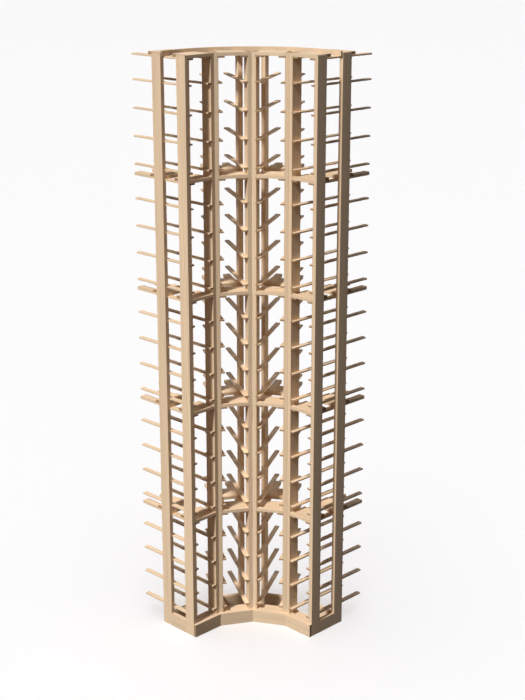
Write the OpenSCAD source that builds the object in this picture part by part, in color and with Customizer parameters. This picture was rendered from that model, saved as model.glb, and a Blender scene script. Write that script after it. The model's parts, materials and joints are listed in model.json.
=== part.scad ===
// Fanned corner wine rack: four straight columns of single-bottle cells, joined at
// their front corners so that the front curves inward and turns a right angle.
// A thin strip bent to the curve runs along the top.
// Each column is two ladders. A ladder is a front post and a rear post with flat
// rails let into their inner faces; a bottle lies on one rail of each ladder.
//
// Column frame: x runs along the column's front, y runs back into the column,
// z is up. A ladder is drawn as the left one of its column, and the right one
// is its mirror image.

/* [Rack] */
// Angle between neighbouring columns
fan_step = 30; // [20:1:34]
// Front width of one column, outside to outside
column_w = 131; // [126:1:150]
// Sections of rows, one above the other
sections = 5; // [2:1:5]
// Rows of bottles in a section
section_rows = 4; // [1:1:4]
// Height of a section
section_h = 416.8; // [410:0.4:450]

/* [Posts] */
// Thickness of a post, along the column's front
post_t = 15.5; // [14:0.5:20]
// Depth of a post, front to back
post_d = 44.5; // [38:0.5:50]
// Clear gap between the front post and the rear post of a ladder
ladder_gap = 79; // [78:1:100]

/* [Rails] */
// Length of a rail, from the front face to its free tail
rail_len = 287; // [275:1:320]
// Thickness of a rail, which lies flat
rail_t = 6; // [5:0.5:8]
// How far a bottle rail stands out from the inner face of its posts
bottle_reach = 14; // [13:0.5:26]
// How far a cap rail stands out from the inner face of its posts
cap_reach = 22; // [18:1:26]
// Depth of the housings that hold the rails
housing_d = 3; // [2:0.5:5]
// Distance from one rail to the next above it
rail_pitch = 98; // [95:0.5:100]
// Height of the lowest rail's underside above the board under it
first_rail = 19; // [15:0.5:24]

/* [Boards] */
// Thickness of the header boards that lie on the cap rails
header_t = 11.5; // [10:0.5:14]
// Depth of a header board, front to back
header_d = 80; // [60:1:100]
// Height of the plinth, the base panels and the floor boards' tops
base_h = 50; // [45:1:60]
// Thickness of the plinth boards on the front of the posts
plinth_t = 10.5; // [8:0.5:16]

/* [Top strip] */
// Height of the bent strip along the top
strip_h = 19; // [14:0.5:28]
// Thickness of the bent strip
strip_t = 6; // [4:0.5:8]
// Half of the angle that the strip spans
strip_half = 55; // [48:1:58]

/* [Fixings] */
// Diameter of a brad's shank
brad_d = 2; // [1.6:0.1:2.5]
// Length of a brad under its head
brad_len = 34; // [30:1:36]
// Diameter of a wedge block screw's shank
screw_d = 4; // [3:0.5:4.5]
// Diameter of the dowels in the side panels
dowel_d = 6; // [5:0.5:8]

/* [Hidden] */
$fn = 32;
columns = 4;
ladders = 2 * columns;
half_step = fan_step / 2;
rear_y = post_d + ladder_gap;
clear_w = column_w - 2 * post_t;
rack_h = base_h + sections * section_h;
tail_y = rear_y + header_d;
tail_len = rail_len - tail_y;
brad_head_d = 3.6;
brad_head_t = 1;
brad_y = [12, 32];
plinth_brad_z = [15, 35];
rear_brad_z = [8, 25];
dowel_z = [15, 35];
screw_head_d = 8;
screw_head_t = 2.5;
screw_len = 22;
screw_y = 32;
screw_stagger = 12;
block_h = 60;
block_drop = 20;
block_front = 18;
block_back = post_d * cos(half_step) - 1;
block_slope = tan(half_step);
dowel_len = 30;
strip_z = rack_h - header_t;
strip_brad_at = [-16, 16];

// Heading of column c, counted from the left: its front faces the middle of the fan
function heading(c) = fan_step * ((columns + 1) / 2 - c);

// Front corner i of the fan, where columns i and i + 1 meet, from the left end
function corner(i) =
    i == 0 ? [0, 0] : corner(i - 1) + column_w * [cos(heading(i)), sin(heading(i))];

// The origin lies under the middle of the rack's box
front_y = -plinth_t * cos(heading(1));
tail_x = column_w - post_t + housing_d;
back_y = corner(1)[1] + tail_x * sin(heading(2)) + rail_len * cos(heading(2));
origin = [corner(columns)[0] / 2, (front_y + back_y) / 2];

// Middle of the fan, and the radii of the top strip. Its outer face touches the
// rear posts' inner front corners.
fan_r = column_w / (2 * sin(half_step));
front_r = column_w / (2 * tan(half_step));
fan_middle = [0, corner(columns / 2)[1] - origin[1] - fan_r];
strip_outer = norm([front_r + rear_y, clear_w / 2]);
strip_inner = strip_outer - strip_t;

// Top of section k; level 0 is the top of the base
function level_top(k) = base_h + k * section_h;

// Underside of a rail: row r of section k
function rail_z(k, r) = level_top(k) + first_rail + r * rail_pitch;

// Underside of the cap rail under the header at level k
function cap_z(k) = level_top(k) - header_t - rail_t;

// Places children in the frame of column c
module in_column(c)
    translate(corner(c - 1) - origin)
        rotate([0, 0, heading(c)])
            children();

// Places children in ladder k: odd ladders are left ones, even ones their mirror
module in_ladder(k)
    in_column(ceil(k / 2))
        if (k % 2 == 1)
            children();
        else
            translate([column_w, 0, 0])
                mirror([1, 0, 0])
                    children();

// --- Fixings, in the ladder frame ---

// One brad, head at the origin, driven along +x
module brad()
    rotate([0, 90, 0]) {
        cylinder(d = brad_head_d, h = brad_head_t);
        cylinder(d = brad_d, h = brad_len);
    }

// Brads through the front post into the boards between the ladders
module front_post_brads()
    for (k = [0:sections], y = brad_y)
        translate([0, y, level_top(k) - header_t / 2])
            brad();

// Brads through the rear post into the rear headers and the rear base board
module rear_post_brads() {
    for (k = [1:sections], y = brad_y)
        translate([0, rear_y + y, level_top(k) - header_t / 2])
            brad();
    for (z = rear_brad_z)
        translate([0, rear_y + post_t / 2, z])
            brad();
}

// Brads through the plinth into the front end of the front post
module plinth_brads()
    for (z = plinth_brad_z)
        translate([post_t / 2, -plinth_t, z])
            rotate([0, 0, 90])
                brad();

// Brads through the top strip into the top rear header of column c
module strip_brads(c)
    for (at = strip_brad_at)
        translate(concat(fan_middle, (strip_z + rack_h) / 2))
            rotate([0, 0, 90 + heading(c) - atan(at / strip_outer)])
                translate([strip_inner, 0, 0])
                    brad();

// Length of ring as high as the top strip, over the angle that the strip spans
module strip_ring(outer, inner)
    translate(concat(fan_middle, strip_z))
        rotate([0, 0, 90 - strip_half])
            rotate_extrude(angle = 2 * strip_half, $fn = 360)
                translate([inner, 0])
                    square([outer - inner, strip_h]);

// Dowels between the outer side panel and its two posts
module dowels()
    for (y = [post_d, rear_y], z = dowel_z)
        translate([post_t / 2, y - dowel_len / 2, z])
            rotate([-90, 0, 0])
                cylinder(d = dowel_d, h = dowel_len);

// Middle height of the wedge block at level k; the lowest stands above the base
function block_z(k) = k == 0 ? base_h + block_drop + block_h / 2
                             : level_top(k) - block_drop - block_h / 2;

// Screws from the inner face of a front post into the wedge blocks beside it.
// The two ladders at a block have theirs at different heights.
module wedge_screws(k)
    for (level = [0:sections])
        translate([post_t, screw_y, block_z(level) + (k % 2 == 1 ? screw_stagger : -screw_stagger)])
            rotate([0, -90, 0]) {
                cylinder(d1 = screw_head_d, d2 = screw_d, h = screw_head_t);
                cylinder(d = screw_d, h = screw_len);
            }

// True for the ladders that have a neighbouring column on their outer side
function is_inner(k) = k > 1 && k < ladders;

// --- Ladders ---

// Housings for every rail of a ladder, across the inner faces of both posts
module rail_housings() {
    for (s = [0:sections - 1], r = [0:section_rows - 1])
        rail_blank(rail_z(s, r), bottle_reach);
    for (s = [1:sections])
        rail_blank(cap_z(s), cap_reach);
}

// One rail of a ladder with its underside at height z, standing out by reach
module rail_blank(z, reach)
    translate([post_t - housing_d, 0, z])
        cube([housing_d + reach, rail_len, rail_t]);

module front_post(k)
    color("burlywood")
        in_ladder(k)
            difference() {
                cube([post_t, post_d, rack_h]);
                rail_housings();
                front_post_brads();
                plinth_brads();
                if (is_inner(k))
                    wedge_screws(k);
                else
                    dowels();
            }

module rear_post(k)
    color("burlywood")
        in_ladder(k)
            difference() {
                translate([0, rear_y, 0])
                    cube([post_t, post_d, rack_h]);
                rail_housings();
                rear_post_brads();
                if (!is_inner(k))
                    dowels();
            }

module bottle_rails(k)
    color("wheat")
        in_ladder(k)
            for (s = [0:sections - 1], r = [0:section_rows - 1])
                rail_blank(rail_z(s, r), bottle_reach);

module cap_rails(k)
    color("wheat")
        in_ladder(k)
            for (s = [1:sections])
                rail_blank(cap_z(s), cap_reach);

// Strips that thicken the free tails of the cap rails, under every header but the top one
module tail_strips()
    color("wheat")
        for (k = [1:ladders], s = [1:sections - 1])
            in_ladder(k)
                translate([post_t - housing_d, tail_y, cap_z(s) + rail_t])
                    cube([housing_d + cap_reach, tail_len, rail_t]);

// --- Boards between the ladders, in the column frame ---

// Cuts the holes of both ladders' post brads out of children
module drilled_for_brads(c)
    difference() {
        in_column(c)
            children();
        for (k = [2 * c - 1, 2 * c])
            in_ladder(k) {
                front_post_brads();
                rear_post_brads();
            }
    }

module front_headers(c)
    color("burlywood")
        drilled_for_brads(c)
            for (s = [1:sections])
                translate([post_t, 0, level_top(s) - header_t])
                    cube([clear_w, header_d, header_t]);

// The front edge of the top one is hollowed to the curve of the top strip
module rear_headers(c)
    color("burlywood")
        difference() {
            drilled_for_brads(c)
                for (s = [1:sections])
                    translate([post_t, rear_y, level_top(s) - header_t])
                        cube([clear_w, header_d, header_t]);
            strip_ring(strip_outer, strip_inner - strip_t);
            strip_brads(c);
        }

// Thin strip bent along the top, on the cap rails and against the rear headers
module top_strip()
    color("tan")
        difference() {
            strip_ring(strip_outer, strip_inner);
            for (c = [1:columns])
                strip_brads(c);
        }

module floor_board(c)
    color("burlywood")
        drilled_for_brads(c)
            translate([post_t, 0, base_h - header_t])
                cube([clear_w, post_d, header_t]);

module rear_base_board(c)
    color("burlywood")
        drilled_for_brads(c)
            translate([post_t, rear_y, 0])
                cube([clear_w, post_t, base_h]);

// Plinth board across the front of a column, mitred where it meets its neighbours
module plinth_board(c) {
    mitre = plinth_t * tan(half_step);
    left = c == 1 ? 0 : mitre;
    right = c == columns ? 0 : mitre;
    color("tan")
        difference() {
            in_column(c)
                linear_extrude(base_h)
                    polygon([[0, 0], [column_w, 0], [column_w - right, -plinth_t], [left, -plinth_t]]);
            for (k = [2 * c - 1, 2 * c])
                in_ladder(k)
                    plinth_brads();
        }
}

// Panel between the two posts of an end ladder, flush with their outer faces
module side_panel(k)
    color("tan")
        in_ladder(k)
            difference() {
                translate([0, post_d, 0])
                    cube([post_t, ladder_gap, base_h]);
                dowels();
            }

// Blocks glued and screwed in the wedge behind each inner corner of the fan
module wedge_blocks()
    color("peru")
        difference() {
            for (i = [1:columns - 1], level = [0:sections])
                translate(concat(corner(i) - origin, block_z(level) - block_h / 2))
                    rotate([0, 0, (heading(i) + heading(i + 1)) / 2])
                        linear_extrude(block_h)
                            polygon([
                                [-block_slope * block_front, block_front],
                                [block_slope * block_front, block_front],
                                [block_slope * block_back, block_back],
                                [-block_slope * block_back, block_back]
                            ]);
            for (k = [2:ladders - 1])
                in_ladder(k)
                    wedge_screws(k);
        }

// --- Fixings as pieces ---

module brads()
    color("silver") {
        for (k = [1:ladders])
            in_ladder(k) {
                front_post_brads();
                rear_post_brads();
                plinth_brads();
            }
        for (c = [1:columns])
            strip_brads(c);
    }

module block_screws()
    color("gold")
        for (k = [2:ladders - 1])
            in_ladder(k)
                wedge_screws(k);

module panel_dowels()
    color("wheat")
        for (k = [1, ladders])
            in_ladder(k)
                dowels();

front_post(1);  // front_post_1
front_post(2);  // front_post_2
front_post(3);  // front_post_3
front_post(4);  // front_post_4
front_post(5);  // front_post_5
front_post(6);  // front_post_6
front_post(7);  // front_post_7
front_post(8);  // front_post_8
rear_post(1);  // rear_post_1
rear_post(2);  // rear_post_2
rear_post(3);  // rear_post_3
rear_post(4);  // rear_post_4
rear_post(5);  // rear_post_5
rear_post(6);  // rear_post_6
rear_post(7);  // rear_post_7
rear_post(8);  // rear_post_8
bottle_rails(1);  // bottle_rails_1
bottle_rails(2);  // bottle_rails_2
bottle_rails(3);  // bottle_rails_3
bottle_rails(4);  // bottle_rails_4
bottle_rails(5);  // bottle_rails_5
bottle_rails(6);  // bottle_rails_6
bottle_rails(7);  // bottle_rails_7
bottle_rails(8);  // bottle_rails_8
cap_rails(1);  // cap_rails_1
cap_rails(2);  // cap_rails_2
cap_rails(3);  // cap_rails_3
cap_rails(4);  // cap_rails_4
cap_rails(5);  // cap_rails_5
cap_rails(6);  // cap_rails_6
cap_rails(7);  // cap_rails_7
cap_rails(8);  // cap_rails_8
tail_strips();
top_strip();
front_headers(1);  // front_headers_1
front_headers(2);  // front_headers_2
front_headers(3);  // front_headers_3
front_headers(4);  // front_headers_4
rear_headers(1);  // rear_headers_1
rear_headers(2);  // rear_headers_2
rear_headers(3);  // rear_headers_3
rear_headers(4);  // rear_headers_4
floor_board(1);  // floor_board_1
floor_board(2);  // floor_board_2
floor_board(3);  // floor_board_3
floor_board(4);  // floor_board_4
plinth_board(1);  // plinth_board_1
plinth_board(2);  // plinth_board_2
plinth_board(3);  // plinth_board_3
plinth_board(4);  // plinth_board_4
rear_base_board(1);  // rear_base_board_1
rear_base_board(2);  // rear_base_board_2
rear_base_board(3);  // rear_base_board_3
rear_base_board(4);  // rear_base_board_4
side_panel(1);  // side_panel_left
side_panel(8);  // side_panel_right
wedge_blocks();
brads();
block_screws();
panel_dowels();
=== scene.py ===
# %% [markdown]
# # Fanned corner wine rack
# The real object is a tall kit rack in bare pine: four straight columns of bottle cells,
# set at an angle to each other so that the front curves inward round a corner. Every board
# is already an exact solid in the imported model. What is left to make here is the wood
# itself, the eased edges, and the room that shows them. The model is loaded first.

import json
import math

import bpy
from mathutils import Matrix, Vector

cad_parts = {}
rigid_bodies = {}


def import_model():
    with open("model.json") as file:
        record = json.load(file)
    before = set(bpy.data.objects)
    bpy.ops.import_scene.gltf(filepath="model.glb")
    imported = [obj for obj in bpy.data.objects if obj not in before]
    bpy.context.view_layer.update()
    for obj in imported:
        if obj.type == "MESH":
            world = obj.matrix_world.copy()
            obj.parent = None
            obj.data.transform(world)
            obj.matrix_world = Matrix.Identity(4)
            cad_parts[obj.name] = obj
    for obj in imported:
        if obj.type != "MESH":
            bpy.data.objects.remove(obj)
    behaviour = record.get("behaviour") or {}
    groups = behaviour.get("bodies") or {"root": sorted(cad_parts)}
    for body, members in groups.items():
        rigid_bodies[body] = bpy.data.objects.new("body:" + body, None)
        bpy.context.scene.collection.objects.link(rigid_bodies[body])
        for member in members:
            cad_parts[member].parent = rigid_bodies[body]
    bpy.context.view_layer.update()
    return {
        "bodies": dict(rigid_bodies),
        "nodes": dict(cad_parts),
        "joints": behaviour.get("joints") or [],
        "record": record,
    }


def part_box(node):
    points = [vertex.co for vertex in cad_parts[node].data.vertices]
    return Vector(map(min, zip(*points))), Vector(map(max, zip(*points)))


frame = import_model()
nodes = frame["nodes"]
print("boards and fixings:", len(nodes))

# %% [markdown]
# ## Camera
# The rack is seen from in front and well above the floor, through a longish lens, so that
# its uprights lean together only a little. A lens of about 73 mm does this from 5 m away. A
# wide lens close by would also fit the rack in, but it would bend the proportions.

# %% Camera
CAMERA_PLACE = (0.0319, -4.947, 2.6027)
CAMERA_DOWN = 17.33
CAMERA_TURN = -0.055
lens = bpy.data.cameras.new("front_camera")
lens.lens = 73.16
lens.sensor_width = 36.0
camera = bpy.data.objects.new("front_camera", lens)
camera.location = CAMERA_PLACE
camera.rotation_euler = (math.radians(90 - CAMERA_DOWN), 0, math.radians(CAMERA_TURN))
bpy.context.scene.collection.objects.link(camera)
bpy.context.scene.camera = camera
print("camera at", CAMERA_PLACE, "with a", lens.lens, "mm lens")

# %% [markdown]
# ## Helpers for node materials
# Wood needs many small nodes joined in a row. A small kit keeps that readable: it adds a
# node and sets its values, and has short forms for the kinds used most.

# %% Node helpers
class NodeKit:
    """Adds nodes to one tree, in a row from left to right."""

    def __init__(self, tree):
        self.tree = tree
        self.step = 0

    def add(self, kind, inputs=None, **settings):
        node = self.tree.nodes.new(kind)
        node.location = (180 * self.step, 0)
        self.step += 1
        for name, value in settings.items():
            setattr(node, name, value)
        for name, value in (inputs or {}).items():
            self.put(node.inputs[name], value)
        return node

    def put(self, socket, value):
        if isinstance(value, bpy.types.NodeSocket):
            self.tree.links.new(value, socket)
        else:
            socket.default_value = value

    def math(self, operation, *values):
        inputs = dict(enumerate(values))
        return self.add("ShaderNodeMath", inputs, operation=operation).outputs[0]

    def vector(self, operation, *values):
        inputs = dict(enumerate(values))
        return self.add("ShaderNodeVectorMath", inputs, operation=operation).outputs[0]

    def hypotenuse(self, first, second):
        squares = [self.math("MULTIPLY", side, side) for side in (first, second)]
        return self.math("SQRT", self.math("ADD", *squares))

    def mix(self, share, low, high, blend="MIX"):
        node = self.add("ShaderNodeMix", data_type="RGBA", blend_type=blend)
        self.put(node.inputs[0], share)
        self.put(node.inputs[6], low)
        self.put(node.inputs[7], high)
        return node.outputs[2]

    def remap(self, value, low, high, to_low, to_high):
        inputs = {"Value": value, "From Min": low, "From Max": high}
        inputs.update({"To Min": to_low, "To Max": to_high})
        return self.add("ShaderNodeMapRange", inputs).outputs["Result"]


print("node helpers ready")

# %% [markdown]
# ## Pine, as a solid
# Pine grows in rings, pale in spring and darker and denser in summer. A board is a slice of
# those rings, so a good pine is a pattern in space rather than a picture on a face: rings
# round a pith that lies outside the board, stretched along the grain. The faces then show
# long flames, the ends show arcs, and the two meet at the edge. Fine fibres and slow streaks
# go on top. It is one node group, used by every board with its own seed.

# %% The pine group
RING_SPACING = 0.0042
PITH_OFFSET = (0.0, 0.085, 0.052)
SEED_SPREAD = (3.0, 0.09, 0.07)
BEND_SCALE = (1.6, 9.0, 9.0)
BEND_SIZE = (0.0, 0.03, 0.03)
FIBRE_SCALE = (14.0, 900.0, 900.0)
STREAK_SCALE = (2.2, 75.0, 75.0)
SPRINGWOOD = (0.800, 0.610, 0.412, 1)
SUMMERWOOD = (0.690, 0.475, 0.285, 1)


def stretched_noise(kit, place, scale, detail):
    """Noise with a scale of its own along, across and through the board."""
    inputs = {"Vector": kit.vector("MULTIPLY", place, scale), "Scale": 1.0, "Detail": detail}
    return kit.add("ShaderNodeTexNoise", inputs)


def pine_group():
    """Board coordinates, grain along X, in metres, to colour, roughness and height."""
    tree = bpy.data.node_groups.new("pine_solid", "ShaderNodeTree")
    for name, kind in (("Board", "NodeSocketVector"), ("Seed", "NodeSocketFloat")):
        tree.interface.new_socket(name, in_out="INPUT", socket_type=kind)
    for name, kind in (
        ("Color", "NodeSocketColor"),
        ("Roughness", "NodeSocketFloat"),
        ("Height", "NodeSocketFloat"),
    ):
        tree.interface.new_socket(name, in_out="OUTPUT", socket_type=kind)
    kit = NodeKit(tree)
    given = kit.add("NodeGroupInput")
    # Every seed moves the board to another place in the tree
    chance = kit.add(
        "ShaderNodeTexWhiteNoise", {"W": given.outputs["Seed"]}, noise_dimensions="1D"
    )
    spread = kit.vector("MULTIPLY_ADD", chance.outputs["Color"], SEED_SPREAD, PITH_OFFSET)
    place = kit.vector("ADD", given.outputs["Board"], spread)

    # Slow bends of the trunk, long along the grain, push the rings sideways
    bend = stretched_noise(kit, place, BEND_SCALE, 2.0).outputs["Color"]
    centred = kit.vector("SUBTRACT", bend, (0.5, 0.5, 0.5))
    bent = kit.vector("MULTIPLY_ADD", centred, BEND_SIZE, place)
    axes = kit.add("ShaderNodeSeparateXYZ", {"Vector": bent})
    radius = kit.hypotenuse(axes.outputs["Y"], axes.outputs["Z"])
    ring = kit.math("FRACT", kit.math("DIVIDE", radius, RING_SPACING))
    # Pale springwood darkens slowly to a thin summerwood line, then drops back
    summer = kit.math("POWER", ring, 2.6)
    summer = kit.math("MULTIPLY", summer, kit.remap(ring, 0.93, 1.0, 1.0, 0.0))

    fibre = stretched_noise(kit, place, FIBRE_SCALE, 3.0).outputs[0]
    streak = stretched_noise(kit, place, STREAK_SCALE, 2.0).outputs[0]

    tone = kit.add("ShaderNodeValToRGB", {"Fac": summer})
    tone.color_ramp.elements[0].color = SPRINGWOOD
    tone.color_ramp.elements[1].color = SUMMERWOOD
    shade = kit.remap(streak, 0.3, 0.7, 0.93, 1.06)
    shade = kit.math("MULTIPLY", shade, kit.remap(fibre, 0.3, 0.7, 0.955, 1.035))
    shade = kit.math("MULTIPLY", shade, kit.remap(chance.outputs[0], 0, 1, 0.94, 1.05))
    colour = kit.mix(1.0, tone.outputs[0], shade, "MULTIPLY")
    rough = kit.remap(kit.math("ADD", summer, fibre), 0.3, 1.5, 0.62, 0.46)
    height = kit.math("MULTIPLY_ADD", summer, -0.45, fibre)
    out = kit.add("NodeGroupOutput")
    kit.put(out.inputs["Color"], colour)
    kit.put(out.inputs["Roughness"], rough)
    kit.put(out.inputs["Height"], height)
    return tree


PINE = pine_group()
print("pine group with", len(PINE.nodes), "nodes")

# %% [markdown]
# ## One pine for each board
# A node of the model may hold many boards, such as the twenty rails of one ladder. They
# were cut from different stock, so each needs its own seed. The boards repeat with height,
# so the section and the row that a point lies in make that seed. The grain direction comes
# from turning the coordinates until the long side of the board lies along X. Sawn ends
# soak up more dirt and light than faces do, so they are made darker and duller.

# %% Board material
SECTION_HEIGHT = 0.4168
ROW_PITCH = 0.098
FIRST_ROW_FLOOR = 0.055
GRAIN_TURN = {"along": 0.0, "back": 90.0, "up": 0.0}
# A face turned this far along the grain starts to be, and fully is, a sawn end
SAWN_STARTS = 0.6
SAWN_FULLY = 0.85
SAWN_SHADE = (0.5, 0.43, 0.37)
SAWN_ROUGHER = 0.2
GRAIN_BUMP_STRENGTH = 0.35
GRAIN_BUMP_DEPTH = 0.0003
PINE_SPECULAR = 0.35


def board_number(kit, height, by_row):
    """A number for the board at this height: its section, and its row if it has rows."""
    raised = kit.math("SUBTRACT", height, FIRST_ROW_FLOOR)
    section = kit.math("FLOOR", kit.math("DIVIDE", raised, SECTION_HEIGHT))
    if not by_row:
        return section
    inside = kit.math("MULTIPLY_ADD", section, -SECTION_HEIGHT, raised)
    row = kit.math("FLOOR", kit.math("DIVIDE", inside, ROW_PITCH))
    return kit.math("MULTIPLY_ADD", section, 7.0, row)


def pine(name, grain, heading, seed, repeat="none", tint=(1.0, 1.0, 1.0), frame=None):
    """grain is along the column's front, back into the column, or up. Boards that repeat do
    so by rows or by sections. frame swaps the coordinates and the normal for the board's own."""
    material = bpy.data.materials.new(name)
    material.use_nodes = True
    tree = material.node_tree
    kit = NodeKit(tree)
    bsdf = tree.nodes["Principled BSDF"]
    coords = kit.add("ShaderNodeTexCoord")
    place, normal = coords.outputs["Object"], coords.outputs["Normal"]
    if frame:
        place, normal = frame(kit, place, normal)
    tilt = -90.0 if grain == "up" else 0.0
    turned = kit.add("ShaderNodeMapping", vector_type="TEXTURE")
    turned.inputs["Rotation"].default_value = (
        0.0,
        math.radians(tilt),
        math.radians(heading + GRAIN_TURN[grain]),
    )
    kit.put(turned.inputs["Vector"], place)
    number = seed
    if repeat != "none":
        height = kit.add("ShaderNodeSeparateXYZ", {0: place}).outputs["Z"]
        number = kit.math("ADD", board_number(kit, height, repeat == "rows"), seed)
    wood = kit.add("ShaderNodeGroup", node_tree=PINE)
    kit.put(wood.inputs["Board"], turned.outputs[0])
    kit.put(wood.inputs["Seed"], number)

    # How far the surface faces along the grain: 1 on a sawn end, 0 on a face
    facing = kit.add("ShaderNodeMapping", vector_type="TEXTURE")
    facing.inputs["Rotation"].default_value = turned.inputs["Rotation"].default_value
    kit.put(facing.inputs["Vector"], normal)
    along = kit.add("ShaderNodeSeparateXYZ", {0: facing.outputs[0]}).outputs["X"]
    end = kit.remap(kit.math("ABSOLUTE", along), SAWN_STARTS, SAWN_FULLY, 0.0, 1.0)
    face = (*tint, 1)
    sawn = (*(shade * channel for shade, channel in zip(SAWN_SHADE, tint)), 1)
    dark = kit.mix(end, face, sawn)
    colour = kit.mix(1.0, wood.outputs["Color"], dark, "MULTIPLY")
    rough = kit.math("MULTIPLY_ADD", end, SAWN_ROUGHER, wood.outputs["Roughness"])
    bump = kit.add("ShaderNodeBump", {"Height": wood.outputs["Height"]})
    bump.inputs["Strength"].default_value = GRAIN_BUMP_STRENGTH
    bump.inputs["Distance"].default_value = GRAIN_BUMP_DEPTH
    kit.put(bsdf.inputs["Base Color"], colour)
    kit.put(bsdf.inputs["Roughness"], rough)
    kit.put(bsdf.inputs["Normal"], bump.outputs[0])
    bsdf.inputs["Specular IOR Level"].default_value = PINE_SPECULAR
    return material


print("board material ready, rows of", ROW_PITCH, "m")

# %% [markdown]
# ## Eased edges
# Sandpaper takes the sharpness off every long edge of a board, but not off the rim of a nail
# hole. A plain bevel by angle would round both, and would tear up the flat face round each
# hole. So a small node tree marks the edges first: only those that are sharp and longer
# than any step of a nail hole's rim. The bevel then follows these marks.

# %% Eased edges
SHARP_ANGLE = math.radians(40)
SHORTEST_BOARD_EDGE = 0.0016


def edge_marker():
    """Marks the edges that sandpaper reaches, for a bevel by weight."""
    tree = bpy.data.node_groups.new("mark_board_edges", "GeometryNodeTree")
    for way in ("INPUT", "OUTPUT"):
        tree.interface.new_socket("Geometry", in_out=way, socket_type="NodeSocketGeometry")
    kit = NodeKit(tree)
    given = kit.add("NodeGroupInput")
    angle = kit.add("GeometryNodeInputMeshEdgeAngle").outputs["Unsigned Angle"]
    ends = kit.add("GeometryNodeInputMeshEdgeVertices")
    span = kit.add("ShaderNodeVectorMath", operation="DISTANCE")
    kit.put(span.inputs[0], ends.outputs["Position 1"])
    kit.put(span.inputs[1], ends.outputs["Position 2"])
    sharp = kit.math("GREATER_THAN", angle, SHARP_ANGLE)
    long = kit.math("GREATER_THAN", span.outputs["Value"], SHORTEST_BOARD_EDGE)
    store = kit.add("GeometryNodeStoreNamedAttribute", domain="EDGE", data_type="FLOAT")
    kit.put(store.inputs["Geometry"], given.outputs[0])
    kit.put(store.inputs["Name"], "bevel_weight_edge")
    kit.put(store.inputs["Value"], kit.math("MULTIPLY", sharp, long))
    kit.put(kit.add("NodeGroupOutput").inputs[0], store.outputs[0])
    return tree


EDGE_MARKER = edge_marker()


def dress(node, material, ease):
    """Gives a CAD node its finish, and its edges the small round of a sanded board."""
    piece = nodes[node]
    piece.data.materials.clear()
    piece.data.materials.append(material)
    if not ease:
        return
    weld = piece.modifiers.new("weld", "WELD")
    weld.merge_threshold = 1e-6
    piece.modifiers.new("board_edges", "NODES").node_group = EDGE_MARKER
    round_off = piece.modifiers.new("eased_edges", "BEVEL")
    round_off.width = ease
    round_off.segments = 2
    round_off.limit_method = "WEIGHT"
    round_off.use_clamp_overlap = False
    # Long thin faces shade unevenly unless the large flats set the normals
    flats = piece.modifiers.new("flat_faces", "WEIGHTED_NORMAL")
    flats.weight = 100


print("edges longer than", SHORTEST_BOARD_EDGE, "m are eased")

# %% [markdown]
# ## Posts
# The sixteen posts are single sticks as tall as the rack, with the grain running up. Their
# faces are planed and their long edges eased, which gives each a thin bright line. Each is
# its own board, so each has a plain seed and no repeats. Here and below, seeds mean nothing
# in themselves: they only keep the boards apart.

# %% Posts
COLUMNS = 4
LADDERS = 2 * COLUMNS
FAN_STEP = 30.0
POST_EASE = 0.0007


def column_heading(column):
    return FAN_STEP * ((COLUMNS + 1) / 2 - column)


for ladder in range(1, LADDERS + 1):
    heading = column_heading((ladder + 1) // 2)
    for place, offset in (("front", 0.0), ("rear", 31.0)):
        name = f"{place}_post_{ladder}"
        dress(name, pine(f"pine_{name}", "up", heading, 3.0 * ladder + offset), POST_EASE)
print("posts:", 2 * LADDERS)

# %% [markdown]
# ## Pieces that follow the fan
# Two nodes cross all four columns: the bent strip along the top, and the short strips on the
# rails' tails. Turning the coordinates by one angle can't lay their grain. Their materials
# look up where a point lies about the fan's middle instead. A tail takes the turn of its own
# column. The bent strip is unrolled, so that the way round the bend becomes its length.

# %% Pieces that follow the fan
strip_low, strip_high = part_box("top_strip")
strip_half_chord = (strip_high.x - strip_low.x) / 2
strip_rise = strip_high.y - strip_low.y
# The strip's outer face is an arc; its chord and its rise give the radius
STRIP_RADIUS = (strip_half_chord**2 + strip_rise**2) / (2 * strip_rise)
FAN_MIDDLE = (0.0, strip_high.y - STRIP_RADIUS, 0.0)


def about_middle(kit, place):
    """The turn about the fan's middle, the distance out from it, and the height."""
    axes = kit.add("ShaderNodeSeparateXYZ", {0: kit.vector("SUBTRACT", place, FAN_MIDDLE)})
    across, back, height = (axes.outputs[axis] for axis in "XYZ")
    return kit.math("ARCTAN2", across, back), kit.hypotenuse(across, back), height


def swing(kit, vector, turn):
    """The vector turned about the upright axis."""
    rotate = kit.add("ShaderNodeVectorRotate", rotation_type="Z_AXIS")
    kit.put(rotate.inputs["Vector"], vector)
    kit.put(rotate.inputs["Angle"], turn)
    return rotate.outputs[0]


def in_own_column(kit, place, normal):
    """Both vectors in the frame of the column they belong to."""
    turn = about_middle(kit, place)[0]
    step = math.radians(FAN_STEP)
    column = kit.math("FLOOR", kit.math("DIVIDE", turn, step))
    column_turn = kit.math("MULTIPLY_ADD", column, step, step / 2)
    return swing(kit, place, column_turn), swing(kit, normal, column_turn)


def unrolled(kit, place, normal):
    """Both vectors as if the bent strip lay straight."""
    turn, out, height = about_middle(kit, place)
    board = kit.add("ShaderNodeCombineXYZ", {"Y": out, "Z": height})
    kit.put(board.inputs["X"], kit.math("MULTIPLY", turn, STRIP_RADIUS))
    return board.outputs[0], swing(kit, normal, turn)


print("middle of the fan at", [round(v, 3) for v in FAN_MIDDLE])

# %% [markdown]
# ## Rails
# A rail is a thin flat strip that runs back into the column and sticks out behind. It is
# cut from many different boards, so the tone changes from row to row. The rails that carry
# bottles are narrower than the cap rails under the headers. Short strips thicken the tails
# of the cap rails.

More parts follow.
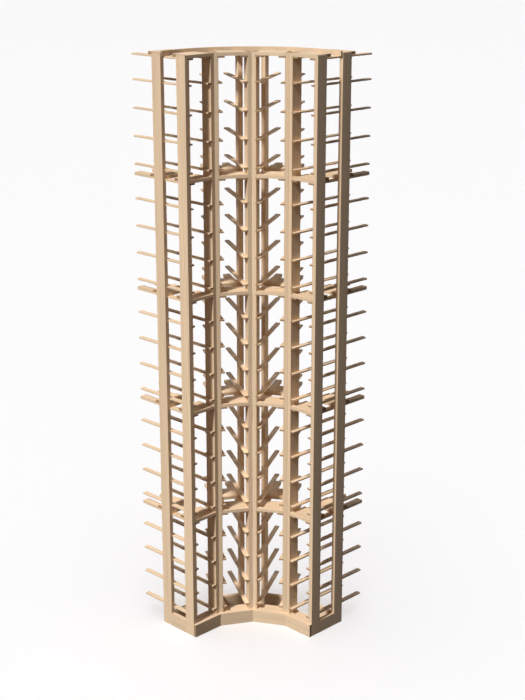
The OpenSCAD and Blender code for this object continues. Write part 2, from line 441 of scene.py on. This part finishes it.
# %% Rails
RAIL_EASE = 0.0005
for ladder in range(1, LADDERS + 1):
    heading = column_heading((ladder + 1) // 2)
    rails = pine(f"pine_bottle_rails_{ladder}", "back", heading, 71.0 * ladder, "rows")
    caps = pine(f"pine_cap_rails_{ladder}", "back", heading, 71.0 * ladder + 43, "sections")
    dress(f"bottle_rails_{ladder}", rails, RAIL_EASE)
    dress(f"cap_rails_{ladder}", caps, RAIL_EASE)
tails = pine("pine_tail_strips", "back", 0.0, 613.0, "sections", frame=in_own_column)
dress("tail_strips", tails, RAIL_EASE)
print("rail nodes:", 2 * LADDERS + 1)

# %% [markdown]
# ## Headers, floor boards and base
# The header boards, floor boards and plinth all run across the column, so their grain runs
# that way too. The two side panels run from front post to rear post. Together they make
# the pale bands that divide the tall rack into five.

# %% Boards between the ladders
BOARD_EASE = 0.0005
for column in range(1, COLUMNS + 1):
    heading = column_heading(column)
    for order, name in enumerate(("front_headers", "rear_headers")):
        seed = 401.0 * column + 57.0 * order
        wood = pine(f"pine_{name}_{column}", "along", heading, seed, "sections")
        dress(f"{name}_{column}", wood, BOARD_EASE)
    for order, name in enumerate(("floor_board", "plinth_board", "rear_base_board")):
        seed = 907.0 * column + 19.0 * order
        wood = pine(f"pine_{name}_{column}", "along", heading, seed)
        dress(f"{name}_{column}", wood, BOARD_EASE)
for side, column in (("left", 1), ("right", COLUMNS)):
    wood = pine(f"pine_side_panel_{side}", "back", column_heading(column), 83.0 * column)
    dress(f"side_panel_{side}", wood, BOARD_EASE)
print("boards across the columns:", 5 * COLUMNS + 2)

# %% [markdown]
# ## Top strip
# A thin strip is bent along the top, against the rear headers. It is a little paler than the
# other boards, and the only one that isn't straight.

# %% Top strip
bent = pine("pine_top_strip", "along", 0.0, 1301.0, tint=(1.02, 1.02, 1.02), frame=unrolled)
dress("top_strip", bent, RAIL_EASE)
print("top strip bent to a radius of", round(STRIP_RADIUS, 3), "m")

# %% [markdown]
# ## Hidden fixings
# The wedge blocks are rough offcuts behind the inner corners. The brads, screws and dowels
# are small, but they are real pieces and show at a joint when it is looked at closely. The
# brads have a tan coating, as nails for bare pine do, so that their heads don't stand out.
# The screws are bare plated metal. Both get the fine marks of drawn wire.

# %% Fixings
BLOCK_EASE = 0.0008
WIRE_MARKS_SCALE = 900.0


def drawn_metal(name, colour, roughness, metallic):
    material = bpy.data.materials.new(name)
    material.use_nodes = True
    kit = NodeKit(material.node_tree)
    bsdf = material.node_tree.nodes["Principled BSDF"]
    coords = kit.add("ShaderNodeTexCoord")
    marks = kit.add("ShaderNodeTexNoise", {"Vector": coords.outputs["Object"]})
    marks.inputs["Scale"].default_value = WIRE_MARKS_SCALE
    marks.inputs["Detail"].default_value = 4.0
    low = tuple(0.82 * channel for channel in colour) + (1,)
    tint = kit.mix(marks.outputs[0], low, tuple(colour) + (1,))
    rough = kit.remap(marks.outputs[0], 0.3, 0.7, roughness - 0.08, roughness + 0.1)
    bump = kit.add("ShaderNodeBump", {"Height": marks.outputs[0]})
    bump.inputs["Strength"].default_value = 0.25
    bump.inputs["Distance"].default_value = 0.0001
    kit.put(bsdf.inputs["Base Color"], tint)
    kit.put(bsdf.inputs["Roughness"], rough)
    kit.put(bsdf.inputs["Normal"], bump.outputs[0])
    bsdf.inputs["Metallic"].default_value = metallic
    return material


dress("wedge_blocks", pine("pine_wedge_blocks", "up", 0.0, 733.0, "sections"), BLOCK_EASE)
dress("panel_dowels", pine("beech_panel_dowels", "back", 0.0, 811.0), 0)
dress("brads", drawn_metal("tan_brad_coating", (0.72, 0.55, 0.37), 0.55, 0.0), 0)
dress("block_screws", drawn_metal("yellow_zinc", (0.72, 0.60, 0.32), 0.34, 1.0), 0)
print("fixings dressed")

# %% [markdown]
# ## Floor
# The rack stands on a wide pale floor that runs back far enough to be the backdrop too, so
# no wall is needed. A white floor in the sun would throw so much light back up that the
# shaded faces turned pale and flat, so the floor is left out of the bounced light.

# %% Floor
FLOOR_HALF = 400.0
FLOOR_TONES = ((0.92, 0.915, 0.92, 1), (0.94, 0.935, 0.94, 1))
bpy.ops.mesh.primitive_plane_add(size=2 * FLOOR_HALF, location=(0, 0, 0))
floor = bpy.context.object
floor.name = "pale_floor"
floor.visible_diffuse = False
floor.visible_glossy = False
paint = bpy.data.materials.new("pale_floor_paint")
paint.use_nodes = True
floor_kit = NodeKit(paint.node_tree)
floor_bsdf = paint.node_tree.nodes["Principled BSDF"]
mottle = floor_kit.add("ShaderNodeTexNoise")
mottle.inputs["Scale"].default_value = 3.0
floor_kit.put(floor_bsdf.inputs["Base Color"], floor_kit.mix(mottle.outputs[0], *FLOOR_TONES))
floor_bsdf.inputs["Roughness"].default_value = 0.95
floor.data.materials.append(paint)
print("floor", 2 * FLOOR_HALF, "m wide")

# %% [markdown]
# ## Light
# A key light stands at the front left, high up. Faces turned to the left are bright and
# faces turned to the right fall into shade, which is what makes the fan readable. A weak
# broad light from the front and a dim room fill the shade. The floor has two lights of its
# own. One throws no shadow and keeps it clean, and a weaker one is so soft that the rack
# only gets a faint shade where it stands. Two low lights from behind show the back without
# reaching the shaded faces at the front. The room itself gives little light, but it is seen
# as a pale backdrop above the floor.

# %% Lights
ROOM_GLOW = 0.055
ROOM_TINT = (1.0, 0.90, 0.98, 1)
BACKDROP = (0.975, 0.97, 0.975, 1)


def sun(name, strength, spread, elevation, azimuth):
    """azimuth is measured from straight in front of the rack, towards the left."""
    light = bpy.data.lights.new(name, "SUN")
    light.energy = strength
    light.angle = math.radians(spread)
    lamp = bpy.data.objects.new(name, light)
    lamp.rotation_euler = (math.radians(90 - elevation), 0, math.radians(-azimuth))
    bpy.context.scene.collection.objects.link(lamp)
    return lamp


def shine_on(lamp, name, pieces, state):
    """Limits a light to these pieces, or keeps it off them."""
    group = bpy.data.collections.new(name)
    for piece in pieces:
        group.objects.link(piece)
    lamp.light_linking.receiver_collection = group
    for member in group.collection_objects:
        member.light_linking.link_state = state


key = sun("key_light", 3.95, 7.0, 48.0, 40.0)
fill = sun("front_fill", 0.22, 70.0, 18.0, 10.0)
back_left = sun("back_left", 1.0, 30.0, 16.0, 150.0)
back_right = sun("back_right", 0.75, 30.0, 16.0, -133.0)
wash = sun("floor_wash", 2.58, 60.0, 80.0, 30.0)
wash.data.use_shadow = False
grounding = sun("floor_grounding", 0.62, 110.0, 80.0, 30.0)
for lamp in (key, back_left, back_right):
    shine_on(lamp, lamp.name + "_not_on", [floor], "EXCLUDE")
for lamp in (wash, grounding):
    shine_on(lamp, lamp.name + "_receiver", [floor], "INCLUDE")
world = bpy.data.worlds.new("dim_room")
world.use_nodes = True
room_kit = NodeKit(world.node_tree)
room = world.node_tree.nodes["Background"]
room.inputs["Color"].default_value = ROOM_TINT
room.inputs["Strength"].default_value = ROOM_GLOW
backdrop = room_kit.add("ShaderNodeBackground", {"Color": BACKDROP})
seen = room_kit.add("ShaderNodeLightPath").outputs["Is Camera Ray"]
choice = room_kit.add("ShaderNodeMixShader", {0: seen, 1: room.outputs[0], 2: backdrop.outputs[0]})
room_kit.put(world.node_tree.nodes["World Output"].inputs["Surface"], choice.outputs[0])
bpy.context.scene.world = world
bpy.context.scene.view_settings.view_transform = "Standard"
print("lights:", key.name, fill.name, wash.name, "and a room at", ROOM_GLOW)

# %% [markdown]
# ## Sizes
# Finishes and eased edges may not change how large the rack is.


print("scene dressed")
